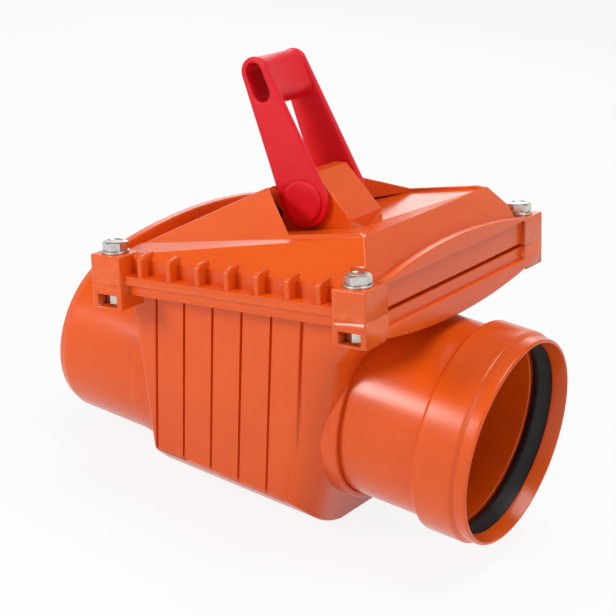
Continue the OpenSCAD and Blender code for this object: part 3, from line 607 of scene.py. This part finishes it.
# turned and pressed metal
turnedEdge = dict(plainEdge, width=0.0005, segments=2, sharp=30.0)
pressedEdge = dict(plainEdge, width=0.0003, segments=2, sharp=30.0)
hingePin = softEdged("hingePin", "flap_pin", turnedEdge)
lockShaft = softEdged("lockShaft", "lock_shaft", turnedEdge)
crossPin = softEdged("crossPin", "finger_pin", pressedEdge)
pinClips = softEdged("pinClips", "pin_clips", pressedEdge)
boltWashers = softEdged("boltWashers", "bolt_washers", pressedEdge)
sealRing = softEdged("sealRing", "seal_retainer", turnedEdge)
print("moulded, rubber and turned pieces made")


# the smooth angle of bolts, nuts and screws, and how far a shank runs up into its head
fastener = dict(smooth=32, sunk=0.2)

# bolt: washer face, hexagon with a coned crown and a shallow dish, plain shank, rolled thread
bolt = dict(u=81.9, v=93.3, seat=18.1, flats=13.0, high=5.3, face=0.4, faceR=6.2, cone=5.95, slope=0.55,
    dishR=4.7, dish=0.35, shankR=4.0, low=-15.0, thread=-2.0, depth=0.55, pitch=1.25, tip=0.7, tipCut=0.9,
    count=48, shankCount=32)
boltPlaces = [coverPlace @ Matrix.Translation((su * bolt["u"] / perMetre, sv * bolt["v"] / perMetre, 0))
    for su in (-1, 1) for sv in (-1, 1)]


def boltHead():
    seat, count = bolt["seat"], bolt["count"]
    neck, top = seat + bolt["face"], seat + bolt["high"]
    return [roundRing(bolt["faceR"], seat, count), roundRing(bolt["faceR"], neck, count),
        hexRing(bolt["flats"], neck, count), hexRing(bolt["flats"], top, count, bolt["cone"], bolt["slope"]),
        roundRing(bolt["cone"], top, count), roundRing(bolt["dishR"], top, count),
        roundRing(bolt["dishR"] - bolt["dish"], top - bolt["dish"], count)]


def boltShank():
    radius, low, count = bolt["shankR"], bolt["low"], bolt["shankCount"]
    thread = threadRings(radius, bolt["depth"], bolt["pitch"], low + bolt["tip"], bolt["thread"], count)
    tip = roundRing(radius - bolt["tipCut"], low, count)
    return [tip] + thread + [roundRing(radius, bolt["seat"] + fastener["sunk"], count)]


boltParts = [(boltHead(), True), (boltShank(), True)]
hexBolts = ringPiece("hexBolts", "cover_bolts", boltPlaces, boltParts, fastener["smooth"])

# nut: hexagon coned on both faces, with a countersunk bore
nut = dict(flats=13.0, low=-13.2, high=-6.7, cone=6.1, slope=0.55, boreR=4.05, sink=0.5, count=48)


def nutRings():
    low, high, count = nut["low"], nut["high"], nut["count"]
    bore, sink = nut["boreR"], nut["sink"]
    return [roundRing(bore, low + sink, count), roundRing(bore + sink, low, count),
        roundRing(nut["cone"], low, count), hexRing(nut["flats"], low, count, nut["cone"], -nut["slope"]),
        hexRing(nut["flats"], high, count, nut["cone"], nut["slope"]), roundRing(nut["cone"], high, count),
        roundRing(bore + sink, high, count), roundRing(bore, high - sink, count)]


hexNuts = ringPiece("hexNuts", "cover_nuts", boltPlaces, [(nutRings(), False)], fastener["smooth"])

# a pan head with a hexagon socket over a threaded shank: shares of the head's rise and radius, then lengths
panHead = dict(wall=0.35, shoulder=0.75, shoulderR=0.93, mouthR=0.62, tipR=0.6, mouth=0.15, tip=0.6,
    runOut=0.6, count=36, shankCount=24)


def socketScrew(screw):
    seat, rise, radius, socket = screw["seat"], screw["high"], screw["headR"], screw["socket"]
    high, count, thin = seat + rise, panHead["count"], panHead["shankCount"]
    head = [roundRing(radius, seat, count), roundRing(radius, seat + rise * panHead["wall"], count),
        roundRing(radius * panHead["shoulderR"], seat + rise * panHead["shoulder"], count),
        roundRing(screw["crownR"], high, count), roundRing(socket * panHead["mouthR"], high, count),
        hexRing(socket, high - panHead["mouth"], count), hexRing(socket, high - screw["sink"], count)]
    low, top = screw["low"] + panHead["tip"], seat - panHead["runOut"]
    thread = threadRings(screw["shankR"], screw["depth"], screw["pitch"], low, top, thin)
    tip = roundRing(screw["shankR"] * panHead["tipR"], screw["low"], thin)
    shank = [tip] + thread + [roundRing(screw["shankR"], seat + fastener["sunk"], thin)]
    return [(head, True), (shank, True)]


saddleScrew = dict(x=57.0, y=8.0, seat=142.75, high=2.4, headR=3.6, crownR=2.8, socket=2.5, sink=1.4,
    shankR=2.0, low=133.95, depth=0.3, pitch=0.8)
saddlePlaces = [Matrix.Translation((saddleScrew["x"] / perMetre, side * saddleScrew["y"] / perMetre, 0))
    for side in (-1, 1)]
saddleScrews = ringPiece("saddleScrews", "bracket_screws", saddlePlaces, socketScrew(saddleScrew),
    fastener["smooth"])

ringScrew = dict(circle=45.8, copies=6, first=30.0, seat=3.0, high=1.6, headR=2.8, crownR=2.0, socket=1.8,
    sink=0.9, shankR=1.5, low=-4.8, depth=0.22, pitch=0.6)
ringOut = Matrix.Translation((ringScrew["circle"] / perMetre, 0, 0))
ringTurns = [a + math.radians(ringScrew["first"]) for a in stepsOf(ringScrew["copies"])]
ringPlaces = [platePlace @ Matrix.Rotation(turn, 4, "Z") @ ringOut for turn in ringTurns]
ringScrews = ringPiece("ringScrews", "retainer_screws", ringPlaces, socketScrew(ringScrew),
    fastener["smooth"])
print("fasteners made")

# the round seals keep their shape and take their finish
for nodeName, node in nodes.items():
    if not node.hide_render:
        node.data.materials.clear()
        node.data.materials.append(finishes[slotOf[nodeName]])


# stage: pale floor, soft lights, camera where the photograph was taken

stageLook = dict(floor=6.0, colour=(0.82, 0.82, 0.82, 1), patch=(0.86, 0.86, 0.86, 1), cloud=3.0, rough=0.8,
    white=1.0, lift=0.88)


# the shown side of the floor and the sky: white to the camera and to reflections, plain to the light
def seenRays(tree):
    rays = addNode(tree, "ShaderNodeLightPath")
    seen = addMath(tree, "MAXIMUM", rays.outputs["Is Camera Ray"], rays.outputs["Is Glossy Ray"])
    return addMath(tree, "MAXIMUM", seen, rays.outputs["Is Transmission Ray"])


# a mix of two shaders that leads to the output
def mixTo(tree, output, factor, first, second):
    mix = addNode(tree, "ShaderNodeMixShader")
    for socket, source in zip(mix.inputs, (factor, first.outputs[0], second.outputs[0])):
        tree.links.new(source, socket)
    tree.links.new(mix.outputs[0], tree.nodes[output].inputs["Surface"])


def makeFloor():
    bm = bmesh.new()
    bmesh.ops.create_grid(bm, x_segments=1, y_segments=1, size=stageLook["floor"])
    mesh = bpy.data.meshes.new("floor")
    bm.to_mesh(mesh)
    bm.free()
    floor = bpy.data.objects.new("floor", mesh)
    scene.collection.objects.link(floor)
    material, tree, shader = newMaterial("paleFloor")
    cloud = addNoise(tree, objectPlace(tree), stageLook["cloud"])
    paint = addMix(tree, cloud, stageLook["colour"], stageLook["patch"])
    tree.links.new(paint, shader.inputs["Base Color"])
    shader.inputs["Roughness"].default_value = stageLook["rough"]
    white = addNode(tree, "ShaderNodeEmission")
    white.inputs["Strength"].default_value = stageLook["white"]
    lift = addMath(tree, "MULTIPLY", seenRays(tree), stageLook["lift"])
    mixTo(tree, "Material Output", lift, shader, white)
    mesh.materials.append(material)


# the sky's strength from the horizon up: what lights the part, and what is seen
skyLook = dict(light=(0.08, 0.6, 0.6, 0.3), seen=(0.2, 0.65, 1.0, 0.25), colour=(1, 1, 1, 1))


def makeWorld():
    world = bpy.data.worlds.new("studio")
    scene.world = world
    world.use_nodes = True
    tree = world.node_tree
    height = addNode(tree, "ShaderNodeSeparateXYZ")
    tree.links.new(addNode(tree, "ShaderNodeTexCoord").outputs["Generated"], height.inputs[0])
    light, seen = tree.nodes["Background"], addNode(tree, "ShaderNodeBackground")
    for back, key in ((light, "light"), (seen, "seen")):
        back.inputs["Color"].default_value = skyLook["colour"]
        tree.links.new(addRange(tree, height.outputs["Z"], *skyLook[key]), back.inputs["Strength"])
    mixTo(tree, "World Output", seenRays(tree), light, seen)


lights = dict(
    keyLight=dict(place=(-0.52, -1.0, 0.6), aim=(0, 0, 0.12), width=0.3, height=0.34, power=6.2),
    topLight=dict(place=(0.3, 0.05, 1.5), aim=(0, 0, 0.12), width=0.9, height=0.9, power=11.5),
    sideLight=dict(place=(1.2, -0.4, 0.5), aim=(0, 0, 0.12), width=0.6, height=0.6, power=1.6),
    backLight=dict(place=(-0.72, 1.2, 0.6), aim=(0, 0, 0.15), width=0.9, height=0.5, power=2.6))


def makeLight(name, look):
    lamp = bpy.data.lights.new(name, "AREA")
    lamp.shape = "ELLIPSE"
    lamp.size = look["width"]
    lamp.size_y = look["height"]
    lamp.energy = look["power"]
    light = bpy.data.objects.new(name, lamp)
    light.location = look["place"]
    light.rotation_mode = "QUATERNION"
    light.rotation_quaternion = (Vector(look["aim"]) - Vector(look["place"])).to_track_quat("-Z", "Y")
    scene.collection.objects.link(light)


# camera: angles in radians, focal length and image width in pixels of the photograph
cameraLook = dict(turn=0.54434, rise=0.37071, roll=0.11505, focus=1700.0, image=616.0,
    target=(-0.0014, 0.0, 0.11727), distance=1.02762, sensor=36.0, near=0.05, far=20.0)


def makeCamera():
    turn, rise, roll = cameraLook["turn"], cameraLook["rise"], cameraLook["roll"]
    back = Vector((math.sin(turn) * math.cos(rise), -math.cos(turn) * math.cos(rise), math.sin(rise)))
    right = Vector((math.cos(turn), math.sin(turn), 0))
    up = back.cross(right)
    level = math.cos(roll) * right + math.sin(roll) * up
    upright = -math.sin(roll) * right + math.cos(roll) * up
    lens = bpy.data.cameras.new("camera")
    lens.sensor_width = cameraLook["sensor"]
    lens.lens = cameraLook["sensor"] * cameraLook["focus"] / cameraLook["image"]
    lens.clip_start = cameraLook["near"]
    lens.clip_end = cameraLook["far"]
    camera = bpy.data.objects.new("camera", lens)
    turned = Matrix((level, upright, back)).transposed().to_4x4()
    eye = Vector(cameraLook["target"]) + back * cameraLook["distance"]
    camera.matrix_world = Matrix.Translation(eye) @ turned
    scene.collection.objects.link(camera)
    scene.camera = camera


makeFloor()
makeWorld()
for lightName, look in lights.items():
    makeLight(lightName, look)
makeCamera()
print("stage, lights and camera made")
